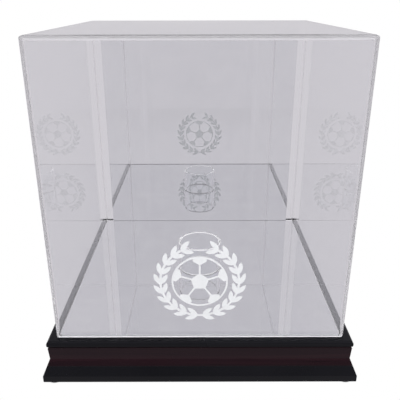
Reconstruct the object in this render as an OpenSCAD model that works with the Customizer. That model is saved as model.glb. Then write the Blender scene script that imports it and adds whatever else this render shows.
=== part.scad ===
// Football display case: a clear cover with a mirrored back stands round a mirrored
// floor on a hollow moulded wooden base. A loose clear ring holds the ball off the floor.
//
// The origin is the centre of the base where it rests. +Z is up, -Y is the front.

/* [Base] */
// Width and depth of the base at the plinth
base_w = 306; // [300:0.5:330]
// Height of the black plinth rails
plinth_h = 16.5; // [15:0.5:24]
// Height of the straight band at the foot of the plinth
plinth_band_h = 7.3; // [5:0.1:10]
// Height of the mahogany rails
fascia_h = 20; // [16:0.5:30]
// Height of the upright part of the mahogany rails
fascia_face_h = 13.3; // [10:0.1:15]
// Slope of the flare: how far it goes out for each millimetre down
flare_slope = 0.43; // [0.3:0.01:0.45]
// Lean of the mahogany face: how far it goes in for each millimetre down
face_lean = 0.055; // [0:0.005:0.08]
// Thickness of the top board
board_t = 7; // [6:0.5:12]
// Width and depth of the top board over its round nose
board_w = 295; // [290:0.5:296]
// Radius of the board's nose
nose_r = 2.7; // [1:0.1:2.9]

/* [Base inside] */
// Width of the rails' section, measured at the fascia
rail_t = 17.8; // [14:0.1:22]
// Width of the step in the plinth that the bottom panel seats against
rebate_w = 5; // [4:0.5:8]
// Height of the bottom panel's underside above the plinth's foot
panel_recess = 3.5; // [3:0.1:5]
// Thickness of the bottom panel
panel_t = 3; // [2:0.5:4]
// Clearance all round the bottom panel
panel_gap = 0.5; // [0.2:0.1:1]
// Side of the square corner blocks
block_w = 28; // [26:1:34]
// Thickness of the felt feet
foot_h = 1.5; // [1:0.5:3]
// Diameter of the felt feet
foot_d = 16; // [10:1:18]

/* [Cover] */
// Outer width and depth of the cover
cover_w = 279.4; // [270:0.2:284]
// Outer height of the cover
cover_h = 279.4; // [250:0.2:320]
// Thickness of the cover's walls
cover_wall = 3; // [2:0.1:5]
// Radius of the cover's outer edges
cover_edge_r = 4; // [3:0.5:6]
// Radius of the cover's inner edges
cover_inner_r = 1.5; // [1:0.5:2]
// Play under the cover and under the ball ring, which stand loose on polished faces
rest_gap = 0.1; // [0.05:0.05:0.3]

/* [Mirrors] */
// Thickness of the floor mirror
floor_mirror_t = 1.5; // [1:0.5:4]
// Gap between the floor mirror and what surrounds it
floor_mirror_gap = 0.6; // [0.5:0.1:3]
// Cut across each upright corner of the floor mirror
floor_mirror_nip = 1.5; // [1.5:0.5:5]
// Width of the back mirror
back_mirror_w = 254; // [200:1:268]
// Height of the back mirror
back_mirror_h = 272; // [200:1:274]
// Thickness of the back mirror
back_mirror_t = 2; // [1:0.5:4]
// Height of the back mirror's lower edge above the cover's
back_mirror_lift = 1; // [0.5:0.5:2]
// Thickness of the mounting tape behind the back mirror
tape_t = 0.5; // [0.3:0.1:1]
// Width of each strip of mounting tape
tape_w = 19; // [10:1:25]
// Number of strips of mounting tape
tape_count = 4; // [2:1:5]

/* [Ball ring] */
// Outer diameter of the ring
ring_od = 50.8; // [40:0.1:80]
// Thickness of the ring's wall
ring_wall = 3; // [2:0.1:5]
// Height of the ring
ring_h = 34; // [20:1:50]
// Radius of the ring's rounded rims
ring_rim_r = 0.8; // [0.4:0.1:0.9]

/* [Emblem] */
// Overall diameter of the frosted emblem
emblem_d = 90; // [60:1:120]
// Height of the emblem's centre above the cover's lower edge
emblem_height = 62; // [62:1:180]
// Thickness of the frosted film
emblem_t = 0.2; // [0.1:0.05:0.4]

/* [Hidden] */
$fn = 64;

// Colours
black_lacquer = "#1c1c1f";
mahogany = "#35171a";
raw_wood = "#c9a36b";
hardboard = "#4d3524";
felt = "#1d1d1d";
steel = "#b9bcc0";
mirror_silver = "#c9ced3";
tape_white = "#e8e6df";
acrylic = "#dfe8ee";
frost = "#f4f6f8";

// Heights of the base's layers
plinth_z = foot_h;
fascia_z = plinth_z + plinth_h;
board_z = fascia_z + fascia_h;
board_top = board_z + board_t;
panel_z = plinth_z + panel_recess;
panel_top = panel_z + panel_t;

// Half widths of the base's outline, from the plinth's foot up
plinth_half = base_w / 2;
seam_half = plinth_half - flare_slope * (plinth_h - plinth_band_h);
flare_top_half = seam_half - flare_slope * (fascia_h - fascia_face_h);
face_top_half = flare_top_half + face_lean * fascia_face_h;
rail_inner = flare_top_half - rail_t;
rebate_inner = rail_inner + rebate_w;
edge_ease = 0.8;

// Screws
screw_r = 1.75;
screw_head_r = 3.6;
screw_head_h = 2.2;
screw_slot_w = 1;
screw_slot_depth = 0.9;
screw_clearance = 0.1;
screw_end_gap = 0.4;
panel_screw_l = 19;
board_screw_l = 29;
counterbore_h = 6;
counterbore_r = 4.2;
block_centre = rail_inner - block_w / 2;
panel_screw_at = block_centre + 5.5;
board_screw_at = block_centre - 5.5;
board_screw_z = panel_top + counterbore_h;

// Cover and mirrors
cover_z = board_top + rest_gap;
inner_half = cover_w / 2 - cover_wall;
back_mirror_back = inner_half - tape_t;
back_mirror_front = back_mirror_back - back_mirror_t;
floor_mirror_half = inner_half - floor_mirror_gap;
floor_mirror_back = back_mirror_front - floor_mirror_gap;
floor_top = board_top + floor_mirror_t;

// Emblem: a wreath round a roundel with a ball's panels
wreath_r = emblem_d * 0.405;
leaf_l = emblem_d * 0.135;
leaf_w = emblem_d * 0.05;
leaf_tilt = 28;
leaf_count = 10;
leaf_first = 12;
leaf_step = 16.5;
leaf_offset = leaf_w * 0.75;
stem_w = emblem_d * 0.012;
roundel_r = emblem_d * 0.29;
line_w = emblem_d * 0.018;

reach = 200;      // longer than any half width, for cutting shapes
over = 1;         // how far a cut passes a face

// ---- Shapes used more than once ----

// A rectangle centred on X, from y = 0 up, whose upper corners are round
module round_top_profile(w, h, r) {
    translate([-w / 2, 0]) square([w, h - r]);
    translate([-w / 2 + r, 0]) square([w - 2 * r, h]);
    for (s = [-1, 1]) translate([s * (w / 2 - r), h - r]) circle(r);
}

// A centred rectangle with four round corners
module round_rectangle(w, d, r) {
    square([w - 2 * r, d], center = true);
    square([w, d - 2 * r], center = true);
    for (sx = [-1, 1], sy = [-1, 1])
        translate([sx * (w / 2 - r), sy * (d / 2 - r)]) circle(r);
}

// A square block standing on z = 0, with round upright edges and round upper edges
module round_block(w, h, r) {
    intersection() {
        linear_extrude(h) round_rectangle(w, w, r);
        intersection_for (turn = [0, 90]) rotate([90, 0, turn])
            linear_extrude(w + 2 * over, center = true) round_top_profile(w, h, r);
    }
}

// One side of a square frame. The profile's points are [distance from the centre, height].
// The side faces +X before it is turned, and both its ends are mitred.
module mitred_rail(profile, turn) {
    rotate([0, 0, turn]) intersection() {
        rotate([90, 0, 0]) linear_extrude(2 * reach, center = true) polygon(profile);
        linear_extrude(reach) polygon([[0, 0], [reach, -reach], [reach, reach]]);
    }
}

// A slotted pan-head screw, its head's seat at z = 0 and its tip pointing up
module screw(length) {
    tip = screw_r * 1.6;
    cylinder(r = screw_r, h = length - tip);
    translate([0, 0, length - tip]) cylinder(r1 = screw_r, r2 = 0.3, h = tip);
    translate([0, 0, -screw_head_h]) difference() {
        union() {
            translate([0, 0, edge_ease]) cylinder(r = screw_head_r, h = screw_head_h - edge_ease);
            cylinder(r1 = screw_head_r - edge_ease, r2 = screw_head_r, h = edge_ease);
        }
        translate([-screw_head_r, -screw_slot_w / 2, -over])
            cube([2 * screw_head_r, screw_slot_w, screw_slot_depth + over]);
    }
}

// Its children once in each corner, where the corner's signs are [sx, sy]
module each_corner(at, z) {
    for (sx = [-1, 1], sy = [-1, 1]) translate([sx * at, sy * at, z]) children();
}

// ---- Base ----

module top_board() {
    color(black_lacquer) difference() {
        translate([0, 0, board_z + board_t / 2])
            intersection_for (turn = [0, 90]) rotate([90, 0, turn])
                linear_extrude(board_w + 2 * over, center = true)
                    round_rectangle(board_w, board_t, nose_r);
        each_corner(board_screw_at, board_z - over)
            cylinder(r = screw_r + screw_clearance,
                     h = board_screw_z + board_screw_l - board_z + over + screw_end_gap);
    }
}

module top_board_screws() {
    color(steel) each_corner(board_screw_at, board_screw_z) screw(board_screw_l);
}

fascia_profile = [
    [rail_inner, fascia_z],
    [seam_half, fascia_z],
    [flare_top_half, fascia_z + fascia_h - fascia_face_h],
    [face_top_half, board_z - edge_ease],
    [face_top_half - edge_ease, board_z],
    [rail_inner, board_z]
];

module fascia(turn) {
    color(mahogany) mitred_rail(fascia_profile, turn);
}

plinth_profile = [
    [rail_inner, panel_top],
    [rebate_inner, panel_top],
    [rebate_inner, plinth_z],
    [plinth_half - edge_ease, plinth_z],
    [plinth_half, plinth_z + edge_ease],
    [plinth_half, plinth_z + plinth_band_h],
    [seam_half, fascia_z],
    [rail_inner, fascia_z]
];

module plinth(turn) {
    color(black_lacquer) mitred_rail(plinth_profile, turn);
}

// The block fills the corner between the bottom panel and the top board. One screw comes
// up into it through the panel, and another goes up through it into the board.
module corner_block(sx, sy) {
    color(raw_wood) difference() {
        translate([sx * block_centre - block_w / 2, sy * block_centre - block_w / 2, panel_top])
            cube([block_w, block_w, board_z - panel_top]);
        translate([sx * panel_screw_at, sy * panel_screw_at, panel_top - over])
            cylinder(r = screw_r + screw_clearance, h = panel_screw_l - panel_t + over + screw_end_gap);
        translate([sx * board_screw_at, sy * board_screw_at, panel_top - over]) {
            cylinder(r = screw_r + screw_clearance, h = board_z - panel_top + 2 * over);
            cylinder(r = counterbore_r, h = counterbore_h + over);
        }
    }
}

module bottom_panel() {
    side = 2 * (rebate_inner - panel_gap);
    color(hardboard) difference() {
        translate([-side / 2, -side / 2, panel_z]) cube([side, side, panel_t]);
        each_corner(panel_screw_at, panel_z - over)
            cylinder(r = screw_r + screw_clearance, h = panel_t + 2 * over);
    }
}

module bottom_panel_screws() {
    color(steel) each_corner(panel_screw_at, panel_z) screw(panel_screw_l);
}

module felt_feet() {
    at = (rebate_inner + plinth_half) / 2;
    color(felt) each_corner(at, 0) cylinder(d = foot_d, h = foot_h);
}

// ---- Mirrors ----

module floor_mirror() {
    x = floor_mirror_half;
    front = -floor_mirror_half;
    back = floor_mirror_back;
    nip = floor_mirror_nip;
    color(mirror_silver) translate([0, 0, board_top]) linear_extrude(floor_mirror_t)
        polygon([[nip - x, front], [x - nip, front], [x, front + nip], [x, back - nip],
                 [x - nip, back], [nip - x, back], [-x, back - nip], [-x, front + nip]]);
}

module back_mirror() {
    color(mirror_silver)
        translate([-back_mirror_w / 2, back_mirror_front, cover_z + back_mirror_lift])
            cube([back_mirror_w, back_mirror_t, back_mirror_h]);
}

module back_mirror_tape() {
    end_gap = 12;
    pitch = (back_mirror_w - tape_w - 2 * end_gap) / (tape_count - 1);
    color(tape_white) for (i = [0 : tape_count - 1])
        translate([(i - (tape_count - 1) / 2) * pitch - tape_w / 2, back_mirror_back,
                   cover_z + back_mirror_lift + end_gap])
            cube([tape_w, tape_t, back_mirror_h - 2 * end_gap]);
}

// ---- Cover ----

module cover() {
    color(acrylic, 0.3) translate([0, 0, cover_z]) difference() {
        round_block(cover_w, cover_h, cover_edge_r);
        translate([0, 0, -over])
            round_block(2 * inner_half, cover_h - cover_wall + over, cover_inner_r);
    }
}

// A pointed leaf along +X, centred on the origin
module leaf(l, w) {
    r = (l * l / 4 + w * w / 4) / w;
    intersection() {
        translate([0, r - w / 2]) circle(r);
        translate([0, w / 2 - r]) circle(r);
    }
}

// The right half of the wreath: a stem that rises from the bottom, with leaves on both sides
module wreath_half() {
    for (i = [0 : leaf_count - 1]) {
        a = -90 + leaf_first + i * leaf_step;
        for (s = [-1, 1]) rotate(a) translate([wreath_r + s * leaf_offset, 0])
            rotate(90 - s * leaf_tilt) leaf(leaf_l, leaf_w);
    }
    end = -90 + leaf_first + (leaf_count - 1) * leaf_step;
    intersection() {
        difference() {
            circle(wreath_r + stem_w);
            circle(wreath_r - stem_w);
        }
        polygon([[0, 0], [0, -reach], [reach, -reach], [reach, 0], reach * [cos(end), sin(end)]]);
    }
}

// A ball's panels inside a ring: a full pentagon, its seams and the edges of five more
module roundel() {
    difference() {
        circle(roundel_r);
        circle(roundel_r - line_w);
    }
    pentagon_r = roundel_r * 0.34;
    fork_r = roundel_r * 0.66;
    corner_r = roundel_r * 0.82;
    corner_half = roundel_r * 0.25;
    outside = roundel_r * 1.2;
    outside_half = roundel_r * 0.2;
    polygon([for (i = [0 : 4]) pentagon_r * [sin(72 * i), cos(72 * i)]]);
    for (i = [0 : 4]) rotate(90 + 72 * i) {
        translate([0, -line_w / 2]) square([fork_r + line_w, line_w]);
        intersection() {
            circle(roundel_r - line_w / 2);
            polygon([[fork_r, 0], [corner_r, corner_half], [outside, outside_half],
                     [outside, -outside_half], [corner_r, -corner_half]]);
        }
    }
}

module emblem() {
    color(frost) translate([0, -cover_w / 2, cover_z + emblem_height])
        rotate([90, 0, 0]) linear_extrude(emblem_t) {
            roundel();
            wreath_half();
            mirror([1, 0]) wreath_half();
        }
}

// ---- Ball ring ----

module ball_ring() {
    color(acrylic, 0.4) translate([0, 0, floor_top + rest_gap]) rotate_extrude()
        translate([ring_od / 2 - ring_wall / 2, ring_h / 2])
            round_rectangle(ring_wall, ring_h, ring_rim_r);
}

top_board();
top_board_screws();
fascia(270);  // fascia_front
fascia(90);  // fascia_back
fascia(180);  // fascia_left
fascia(0);  // fascia_right
plinth(270);  // plinth_front
plinth(90);  // plinth_back
plinth(180);  // plinth_left
plinth(0);  // plinth_right
corner_block(-1, -1);  // corner_block_front_left
corner_block(1, -1);  // corner_block_front_right
corner_block(-1, 1);  // corner_block_back_left
corner_block(1, 1);  // corner_block_back_right
bottom_panel();
bottom_panel_screws();
felt_feet();
floor_mirror();
back_mirror();
back_mirror_tape();
cover();
emblem();
ball_ring();
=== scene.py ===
"""Looks for a football display case: a clear cover with a mirrored back, on a base with a mirrored floor."""

import math

import bpy
from mathutils import Matrix, Vector


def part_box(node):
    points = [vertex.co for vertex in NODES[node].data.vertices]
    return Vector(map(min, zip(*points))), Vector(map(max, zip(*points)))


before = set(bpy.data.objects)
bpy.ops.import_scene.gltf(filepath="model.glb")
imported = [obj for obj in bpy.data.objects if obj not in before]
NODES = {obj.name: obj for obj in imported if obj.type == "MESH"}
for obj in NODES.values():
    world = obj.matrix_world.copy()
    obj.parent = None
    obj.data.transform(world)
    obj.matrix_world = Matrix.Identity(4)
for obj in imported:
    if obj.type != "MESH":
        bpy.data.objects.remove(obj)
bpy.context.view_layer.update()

# Camera: metres in the row frame, degrees, and millimetres for the lens
CAMERA_AT = Vector((0.0, -0.5422, 0.3501))
CAMERA_DOWN = 21.86
CAMERA_LEFT = -0.05
CAMERA_ROLL = -0.09
LENS = 45.13
SENSOR = 36.0

# Studio: metres and linear colours
FLOOR_RADIUS = 6.0
FLOOR_SIDES = 96
WHITE = (1.0, 1.0, 1.0)
STUDIO_GREY = (0.640, 0.625, 0.655)
SKY_GREY = (0.670, 0.655, 0.685)
CONTACT_SHADOW = 0.0015
BOUNCES = 48

# The darker low part of the sky in front: its brightness, then where it fades in, by the view's Y and Z
FRONT_SHADE = 0.2
FRONT_STARTS = (-0.75, -0.92)
SHADE_BOTTOM = (-0.05, 0.02)
SHADE_TOP = (0.27, 0.19)

# Sizes that set the scale of the surface detail, in metres
MILLIMETRE = 0.001
EDGE_SOFTNESS = 0.35 * MILLIMETRE
WORN_WIDTH = 0.6 * MILLIMETRE
FILM_GAP = 0.02 * MILLIMETRE
SAME_POINT = 0.001 * MILLIMETRE

# Shares of 1
FILM_SCATTER = 0.3
FOOT_HEIGHT = 0.0001
# How much less white the sawn foot is along the left and right sides: painted shade, as less light falls
# there
SIDE_FOOT_PAINTED_SHADE = 0.85

# How squarely a face has to face a way to count, and the degrees between two faces that make a sharp edge
SQUARE_ON = 0.9
SHARP_ANGLE = 20


# ---- Node trees ----

class Surface:
    """A new material: its Principled shader, and short calls for the nodes that vary it over the object."""

    def __init__(self, name, colour, roughness, **values):
        self.material = bpy.data.materials.new(name)
        self.material.use_nodes = True
        self.tree = self.material.node_tree
        self.shader = self.tree.nodes["Principled BSDF"]
        self.place = self.node("ShaderNodeTexCoord").outputs["Object"]
        self.set("Base Color", (*colour, 1.0))
        self.set("Roughness", roughness)
        for socket, value in values.items():
            self.set(socket.replace("_", " "), value)

    def set(self, socket, value):
        """Sets one of the shader's sockets to a value, or links a node's output to it."""
        if isinstance(value, bpy.types.NodeSocket):
            self.tree.links.new(value, self.shader.inputs[socket])
        else:
            self.shader.inputs[socket].default_value = value

    def node(self, kind, **properties):
        made = self.tree.nodes.new(kind)
        for name, value in properties.items():
            setattr(made, name, value)
        return made

    def feed(self, node, **inputs):
        """Gives a node's inputs their values or links, by name, and returns its first output."""
        for name, value in inputs.items():
            socket = node.inputs[name.replace("_", " ")]
            if isinstance(value, bpy.types.NodeSocket):
                self.tree.links.new(value, socket)
            else:
                socket.default_value = value
        return node.outputs[0]

    def stretched(self, x, y, z):
        """The place on the object, scaled by x, y and z repeats a metre."""
        return self.feed(self.node("ShaderNodeMapping"), Vector=self.place, Scale=(x, y, z))

    def noise(self, place, scale=1.0, detail=3.0, distortion=0.0):
        made = self.node("ShaderNodeTexNoise")
        return self.feed(made, Vector=place, Scale=scale, Detail=detail, Distortion=distortion)

    def ramp(self, value, *stops):
        """Turns a value into what the stops say: (position, number) or (position, colour)."""
        made = self.node("ShaderNodeValToRGB")
        elements = made.color_ramp.elements
        while len(elements) < len(stops):
            elements.new(0.5)
        for element, (position, shade) in zip(elements, stops):
            element.position = position
            element.color = (*shade, 1.0) if isinstance(shade, tuple) else (shade, shade, shade, 1.0)
        self.tree.links.new(value, made.inputs["Fac"])
        return made.outputs["Color"]

    def mix(self, share, a, b):
        """Colour a where share is 0, and colour b where it is 1."""
        made = self.node("ShaderNodeMix", data_type="RGBA")
        for index, value in ((0, share), (6, a), (7, b)):
            if isinstance(value, bpy.types.NodeSocket):
                self.tree.links.new(value, made.inputs[index])
            else:
                made.inputs[index].default_value = (*value, 1.0) if isinstance(value, tuple) else value
        return made.outputs[2]

    def maths(self, operation, a, b=0.0):
        made = self.node("ShaderNodeMath", operation=operation)
        for index, value in enumerate((a, b)):
            if isinstance(value, bpy.types.NodeSocket):
                self.tree.links.new(value, made.inputs[index])
            else:
                made.inputs[index].default_value = value
        return made.outputs[0]

    def bump(self, height, depth, strength=1.0):
        """Bumps of that depth in metres."""
        made = self.node("ShaderNodeBump")
        self.set("Normal", self.feed(made, Height=height, Distance=depth, Strength=strength))

    def facing(self, axis):
        """How far the surface faces along +X, +Y or +Z: 1 straight along it, and -1 straight against it."""
        normal = self.node("ShaderNodeTexCoord").outputs["Normal"]
        split = self.node("ShaderNodeSeparateXYZ")
        self.tree.links.new(normal, split.inputs[0])
        return split.outputs["XYZ".index(axis)]

    def along(self, axis):
        """The place's X, Y or Z, in metres."""
        split = self.node("ShaderNodeSeparateXYZ")
        self.tree.links.new(self.place, split.inputs[0])
        return split.outputs[axis]

    def height(self, node):
        """How high the place is on a CAD node: 0 at its lowest point, and 1 at its highest."""
        low, high = (corner[2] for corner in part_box(node))
        return self.maths("DIVIDE", self.maths("SUBTRACT", self.along("Z"), low), high - low)

    def worn_edge(self, radius):
        """1 on the piece's sharp edges, falling to 0 within the radius."""
        soft = self.node("ShaderNodeBevel", samples=6)
        soft.inputs["Radius"].default_value = radius
        sharp = self.node("ShaderNodeNewGeometry").outputs["Normal"]
        product = self.node("ShaderNodeVectorMath", operation="DOT_PRODUCT")
        self.tree.links.new(soft.outputs[0], product.inputs[0])
        self.tree.links.new(sharp, product.inputs[1])
        return self.ramp(self.maths("SUBTRACT", 1.0, product.outputs["Value"]), (0.02, 0.0), (0.22, 1.0))


def wear(names, surface):
    """The named CAD nodes take the surface's material."""
    for name in names:
        mesh = NODES[name].data
        mesh.materials.clear()
        mesh.materials.append(surface.material)


def weld(piece):
    """Joins the corners of neighbouring faces, so that the next modifier sees one closed skin."""
    piece.modifiers.new("Weld", "WELD").merge_threshold = SAME_POINT


def soften(names, width):
    """Rounds the named CAD nodes' sharp edges a little, as sanding and lacquer do."""
    for name in names:
        weld(NODES[name])
        bevel = NODES[name].modifiers.new("Soft edges", "BEVEL")
        bevel.width = width
        bevel.segments = 3
        bevel.limit_method = "ANGLE"
        bevel.angle_limit = math.radians(SHARP_ANGLE)
        bevel.harden_normals = True


def stand_off(names, gap):
    """Draws the named CAD nodes' faces in by a hair, so that none lies exactly on a clear wall's face."""
    for name in names:
        weld(NODES[name])
        draw = NODES[name].modifiers.new("Hair of air", "DISPLACE")
        draw.strength = -gap
        draw.mid_level = 0.0


# ---- Materials ----

def black_lacquer(piece, shine):
    s = Surface(f"Black lacquer of the {piece}", (0.0035, 0.0035, 0.0045), 0.3, Specular_IOR_Level=shine,
                Coat_Weight=0.04, Coat_Roughness=0.15)
    cloud = s.noise(s.place, 9.0, 3.0)
    edge = s.worn_edge(WORN_WIDTH)
    black = s.ramp(cloud, (0.3, (0.0028, 0.0028, 0.0037)), (0.7, (0.0042, 0.0042, 0.0054)))
    s.set("Base Color", s.mix(edge, black, (0.012, 0.0115, 0.012)))
    s.set("Roughness", s.ramp(cloud, (0.3, 0.22), (0.7, 0.32)))
    s.bump(s.noise(s.place, 420.0, 2.0), 0.02 * MILLIMETRE, 0.3)
    return s


def mahogany(along):
    """Dark lacquered mahogany, its grain running along the X or the Y axis, with painted shade near its top
    and bottom.
    """
    s = Surface(f"Mahogany along {along}", (0.008, 0.0032, 0.0048), 0.28, Specular_IOR_Level=0.12,
                Coat_Weight=0.04, Coat_Roughness=0.12)
    lengthwise = (3.0, 160.0, 160.0) if along == "X" else (160.0, 3.0, 160.0)
    figure = s.noise(s.stretched(*lengthwise), 1.0, 5.0, 0.6)
    pores = s.noise(s.stretched(*(v * 5.0 for v in lengthwise)), 1.0, 2.0)
    cloud = s.noise(s.place, 14.0, 2.0)
    tone = s.ramp(figure, (0.25, (0.0045, 0.0018, 0.0030)), (0.5, (0.0085, 0.0032, 0.0048)),
                  (0.75, (0.0130, 0.0045, 0.0062)))
    tone = s.mix(s.ramp(cloud, (0.35, 0.0), (0.75, 0.5)), tone, (0.0065, 0.0028, 0.0042))
    tone = s.mix(s.ramp(pores, (0.62, 0.0), (0.72, 0.7)), tone, (0.0025, 0.0013, 0.0018))
    tone = s.mix(s.worn_edge(WORN_WIDTH), tone, (0.020, 0.009, 0.009))
    # Painted shade: darker towards black near the top of the fascia's height, under the board's nose, and
    # near the bottom, on the flare
    painted_shade_top_and_bottom = s.ramp(s.height("fascia_front"), (0.0, 0.5), (0.12, 0.12), (0.25, 0.0), (0.8, 0.0), (1.0, 0.55))
    s.set("Base Color", s.mix(painted_shade_top_and_bottom, tone, (0.0028, 0.0020, 0.0026)))
    s.set("Roughness", s.ramp(cloud, (0.3, 0.22), (0.7, 0.34)))
    s.bump(pores, 0.02 * MILLIMETRE, 0.2)
    return s


def raw_wood():
    s = Surface("Raw wood", (0.5, 0.33, 0.17), 0.75)
    figure = s.noise(s.stretched(120.0, 120.0, 8.0), 1.0, 4.0, 0.8)
    s.set("Base Color", s.ramp(figure, (0.3, (0.36, 0.21, 0.10)), (0.7, (0.60, 0.42, 0.24))))
    s.bump(figure, 0.15 * MILLIMETRE)
    return s


def hardboard():
    s = Surface("Hardboard", (0.09, 0.05, 0.028), 0.62)
    fibre = s.noise(s.place, 900.0, 4.0)
    cloud = s.noise(s.place, 18.0, 3.0)
    tone = s.ramp(fibre, (0.3, (0.055, 0.030, 0.017)), (0.7, (0.135, 0.078, 0.043)))
    s.set("Base Color", s.mix(s.ramp(cloud, (0.3, 0.0), (0.8, 0.4)), tone, (0.07, 0.04, 0.024)))
    s.bump(fibre, 0.08 * MILLIMETRE)
    return s


def felt():
    s = Surface("Felt", (0.012, 0.012, 0.013), 0.95, Sheen_Weight=0.4, Sheen_Roughness=0.5)
    fuzz = s.noise(s.place, 2200.0, 4.0)
    s.set("Base Color", s.ramp(fuzz, (0.3, (0.007, 0.007, 0.008)), (0.7, (0.03, 0.03, 0.032))))
    s.bump(fuzz, 0.2 * MILLIMETRE)
    return s


def zinc_steel():
    s = Surface("Zinc-plated steel", (0.56, 0.57, 0.58), 0.32, Metallic=1.0)
    cloud = s.noise(s.place, 700.0, 3.0)
    s.set("Base Color", s.ramp(cloud, (0.3, (0.46, 0.47, 0.47)), (0.7, (0.66, 0.66, 0.64))))
    s.set("Roughness", s.ramp(cloud, (0.3, 0.24), (0.7, 0.42)))
    s.bump(s.noise(s.stretched(900.0, 900.0, 90.0), 1.0, 2.0), 0.01 * MILLIMETRE)
    return s


def foam_tape():
    s = Surface("Foam tape", (0.78, 0.77, 0.72), 0.7)
    cells = s.noise(s.place, 1500.0, 3.0)
    s.set("Base Color", s.ramp(cells, (0.3, (0.66, 0.65, 0.60)), (0.7, (0.84, 0.83, 0.79))))
    s.bump(cells, 0.05 * MILLIMETRE)
    return s


def mirror(name, axis, sign):
    """A sheet mirror: silvered where it faces along sign times the axis, and grey paint behind."""
    s = Surface(name, (0.9, 0.91, 0.92), 0.0)
    towards = s.maths("MULTIPLY", s.facing(axis), sign)
    silvered = s.maths("GREATER_THAN", towards, SQUARE_ON)
    painted = s.maths("LESS_THAN", towards, -SQUARE_ON)
    smudge = s.noise(s.place, 30.0, 4.0, 0.6)
    speckle = s.noise(s.place, 1300.0, 2.0)
    silver = s.ramp(smudge, (0.3, (0.86, 0.865, 0.88)), (0.7, (0.89, 0.895, 0.905)))
    edge = (0.46, 0.47, 0.49)
    paint = s.ramp(speckle, (0.3, (0.20, 0.205, 0.215)), (0.7, (0.26, 0.265, 0.275)))
    s.set("Base Color", s.mix(silvered, s.mix(painted, edge, paint), silver))
    s.set("Metallic", silvered)
    mirror_polish_and_painted_side_shade = s.ramp(smudge, (0.45, 0.0), (0.8, 0.035))
    s.set("Roughness", s.mix(silvered, s.mix(painted, (0.25, 0.25, 0.25), (0.55, 0.55, 0.55)), mirror_polish_and_painted_side_shade))
    return s


def clear_acrylic(node, tint, white, waves, bend, sawn, matt):
    """Clear acrylic with faint handling marks, and waves of that scale.

    The bends that lead to the top turn white by the bend share, a painted highlight for the light that
    gathers in them, and the sawn foot turns white by the sawn share. Every rounded part is rougher by matt.
    Along the left and right sides the foot is less white, as painted shade where less light falls on it.
    """
    s = Surface(f"Acrylic of the {node}", tint, 0.0, IOR=1.49)
    smudge = s.noise(s.place, 22.0, 4.0, 0.8)
    level = s.maths("ABSOLUTE", s.facing("Z"))
    upright = s.maths("MAXIMUM", s.maths("ABSOLUTE", s.facing("X")), s.maths("ABSOLUTE", s.facing("Y")))
    rounded = s.ramp(s.maths("MAXIMUM", level, upright), (0.95, matt), (0.998, 0.0))
    s.set("Roughness", s.maths("ADD", s.ramp(smudge, (0.5, 0.0), (0.85, 0.03)), rounded))
    s.bump(s.noise(s.place, waves, 2.0), 0.05 * MILLIMETRE, 0.2)
    # Painted highlight: the rounded bends take a white share, standing in for the light that gathers in them
    painted_bend_highlight = s.ramp(level, (0.02, 0.0), (0.12, bend), (0.93, bend), (0.995, 0.0))
    foot = s.maths("LESS_THAN", s.height(node), FOOT_HEIGHT)
    # Painted shade: the foot along the left and right sides is less white, where less light falls on it
    side = s.maths("GREATER_THAN", s.maths("ABSOLUTE", s.along("X")), s.maths("ABSOLUTE", s.along("Y")))
    mirror_polish_and_painted_side_shade = s.maths("MULTIPLY", side, SIDE_FOOT_PAINTED_SHADE)
    foot = s.maths("MULTIPLY", foot, s.maths("SUBTRACT", 1.0, mirror_polish_and_painted_side_shade))
    sawn_white_and_painted_light = s.maths("ADD", painted_bend_highlight, s.maths("MULTIPLY", foot, sawn))
    s.set("Transmission Weight", s.maths("SUBTRACT", 1.0, sawn_white_and_painted_light))
    s.set("Base Color", s.mix(sawn_white_and_painted_light, tint, white))
    return s


def frosted_film():
    """A thin white film that glows from both sides: half of it scatters the light that comes from behind."""
    s = Surface("Frosted film", (0.60, 0.61, 0.62), 0.6)
    grain = s.noise(s.place, 2600.0, 3.0)
    tone = s.ramp(grain, (0.3, (0.54, 0.55, 0.56)), (0.7, (0.66, 0.665, 0.67)))
    s.set("Base Color", tone)
    s.bump(grain, 0.02 * MILLIMETRE)
    behind = s.node("ShaderNodeBsdfTranslucent")
    s.feed(behind, Color=tone)
    both = s.node("ShaderNodeMixShader")
    both.inputs[0].default_value = FILM_SCATTER
    s.tree.links.new(s.shader.outputs[0], both.inputs[1])
    s.tree.links.new(behind.outputs[0], both.inputs[2])
    s.tree.links.new(both.outputs[0], s.tree.nodes["Material Output"].inputs["Surface"])
    return s


# ---- Studio ----

def make_camera():
    data = bpy.data.cameras.new("Camera")
    data.sensor_width = SENSOR
    data.lens = LENS
    data.clip_start = 0.01
    camera = bpy.data.objects.new("Camera", data)
    turn = Matrix.Rotation(math.radians(CAMERA_LEFT), 4, "Z")
    tilt = Matrix.Rotation(math.radians(90 - CAMERA_DOWN), 4, "X")
    roll = Matrix.Rotation(math.radians(CAMERA_ROLL), 4, "Z")
    camera.matrix_world = Matrix.Translation(CAMERA_AT) @ turn @ tilt @ roll
    bpy.context.scene.collection.objects.link(camera)
    bpy.context.scene.camera = camera


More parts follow.
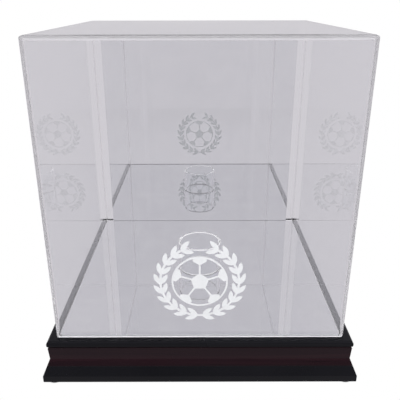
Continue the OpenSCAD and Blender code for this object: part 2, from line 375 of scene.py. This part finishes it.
def make_floor():
    """A round floor: white with a thin contact shadow to the camera, and the studio's grey in mirrors."""
    points = [(FLOOR_RADIUS * math.cos(a), FLOOR_RADIUS * math.sin(a), 0.0)
              for a in (math.tau * i / FLOOR_SIDES for i in range(FLOOR_SIDES))]
    mesh = bpy.data.meshes.new("Studio_floor")
    mesh.from_pydata(points, [], [list(range(FLOOR_SIDES))])
    floor = bpy.data.objects.new("Studio_floor", mesh)
    bpy.context.scene.collection.objects.link(floor)
    s = Surface("Studio floor", WHITE, 0.9)
    open_share = s.node("ShaderNodeAmbientOcclusion", samples=16)
    open_share.inputs["Distance"].default_value = CONTACT_SHADOW
    shade = s.ramp(open_share.outputs["AO"], (0.25, 0.01), (0.85, 1.0))
    seen = s.feed(s.node("ShaderNodeEmission"), Color=shade)
    reflected = s.feed(s.node("ShaderNodeEmission"), Color=(*STUDIO_GREY, 1.0))
    mix = s.node("ShaderNodeMixShader")
    s.tree.links.new(s.node("ShaderNodeLightPath").outputs["Is Camera Ray"], mix.inputs[0])
    s.tree.links.new(reflected, mix.inputs[1])
    s.tree.links.new(seen, mix.inputs[2])
    s.tree.links.new(mix.outputs[0], s.tree.nodes["Material Output"].inputs["Surface"])
    mesh.materials.append(s.material)


def make_world():
    """White behind the object. In its reflections the studio is grey, and darker low in front."""
    world = bpy.data.worlds.new("Studio")
    bpy.context.scene.world = world
    world.use_nodes = True
    tree = world.node_tree

    def node(kind, *inputs, output=0, **properties):
        made = tree.nodes.new(kind)
        for name, value in properties.items():
            setattr(made, name, value)
        for index, value in inputs:
            if isinstance(value, bpy.types.NodeSocket):
                tree.links.new(value, made.inputs[index])
            else:
                made.inputs[index].default_value = value
        return made.outputs[output]

    def step(value, low, high, start=0.0, end=1.0):
        """A smooth step from start to end as the value goes from low to high."""
        return node("ShaderNodeMapRange", (0, value), (1, low), (2, high), (3, start), (4, end),
                    interpolation_type="SMOOTHSTEP")

    def product(a, b):
        return node("ShaderNodeMath", (0, a), (1, b), operation="MULTIPLY")

    split = tree.nodes.new("ShaderNodeSeparateXYZ")
    tree.links.new(node("ShaderNodeTexCoord"), split.inputs[0])
    forward, up = split.outputs["Y"], split.outputs["Z"]
    grey = node("ShaderNodeMix", (0, step(up, 0.0, 1.0)), (6, (*STUDIO_GREY, 1.0)), (7, (*SKY_GREY, 1.0)),
                output=2, data_type="RGBA")
    low = product(step(up, *SHADE_BOTTOM), step(up, *SHADE_TOP))
    low_in_front = product(step(forward, *FRONT_STARTS), low)
    light = step(low_in_front, 0.0, 1.0, 1.0, FRONT_SHADE)
    shaded = node("ShaderNodeVectorMath", (0, grey), (3, light), operation="SCALE")
    seen = node("ShaderNodeLightPath")
    colour = node("ShaderNodeMix", (0, seen), (6, shaded), (7, (*WHITE, 1.0)), output=2, data_type="RGBA")
    tree.links.new(colour, tree.nodes["Background"].inputs["Color"])


def softbox(name, at, towards, size, watts):
    """A large square lamp that lights matt surfaces and shows in no reflection."""
    data = bpy.data.lights.new(name, "AREA")
    data.shape = "SQUARE"
    data.size = size
    data.energy = watts
    lamp = bpy.data.objects.new(name, data)
    lamp.location = at
    lamp.rotation_mode = "QUATERNION"
    lamp.rotation_quaternion = (Vector(towards) - Vector(at)).to_track_quat("-Z", "Y")
    lamp.visible_glossy = False
    lamp.visible_transmission = False
    bpy.context.scene.collection.objects.link(lamp)


def light_studio():
    middle = (0.0, 0.0, 0.1)
    softbox("Key", (-1.1, -2.0, 1.9), middle, size=1.6, watts=75.0)
    softbox("Fill", (1.6, -1.6, 1.5), middle, size=1.6, watts=55.0)
    softbox("Top", (0.0, 0.3, 2.6), middle, size=2.0, watts=60.0)


# ---- Assembly ----

def named(start):
    return [name for name in NODES if name.startswith(start)]


wear(["top_board"], black_lacquer("top board", 0.08))
wear(named("plinth"), black_lacquer("plinth", 0.12))
wear(["fascia_front", "fascia_back"], mahogany("X"))
wear(["fascia_left", "fascia_right"], mahogany("Y"))
wear(named("corner_block"), raw_wood())
wear(["bottom_panel"], hardboard())
wear(["felt_feet"], felt())
wear(["top_board_screws", "bottom_panel_screws"], zinc_steel())
wear(["back_mirror_tape"], foam_tape())
wear(["floor_mirror"], mirror("Floor mirror", "Z", 1.0))
wear(["back_mirror"], mirror("Back mirror", "Y", -1.0))
wear(["cover"], clear_acrylic("cover", tint=(0.985, 0.983, 0.99), white=(0.82, 0.81, 0.84), waves=9.0,
                              bend=0.042, sawn=0.72, matt=0.3))
wear(["ball_ring"], clear_acrylic("ball_ring", tint=(0.98, 0.985, 0.99), white=(0.5, 0.5, 0.51), waves=30.0,
                                  bend=0.6, sawn=0.6, matt=0.0))
wear(["emblem"], frosted_film())
soften(named("plinth") + named("fascia"), EDGE_SOFTNESS)
stand_off(["emblem", "back_mirror_tape"], FILM_GAP)
for name in ("cover", "ball_ring", "emblem"):
    NODES[name].visible_shadow = False

make_camera()
make_floor()
make_world()
light_studio()
bpy.context.scene.view_settings.view_transform = "Standard"
bpy.context.scene.cycles.max_bounces = BOUNCES
bpy.context.scene.cycles.glossy_bounces = BOUNCES
bpy.context.scene.cycles.transmission_bounces = BOUNCES
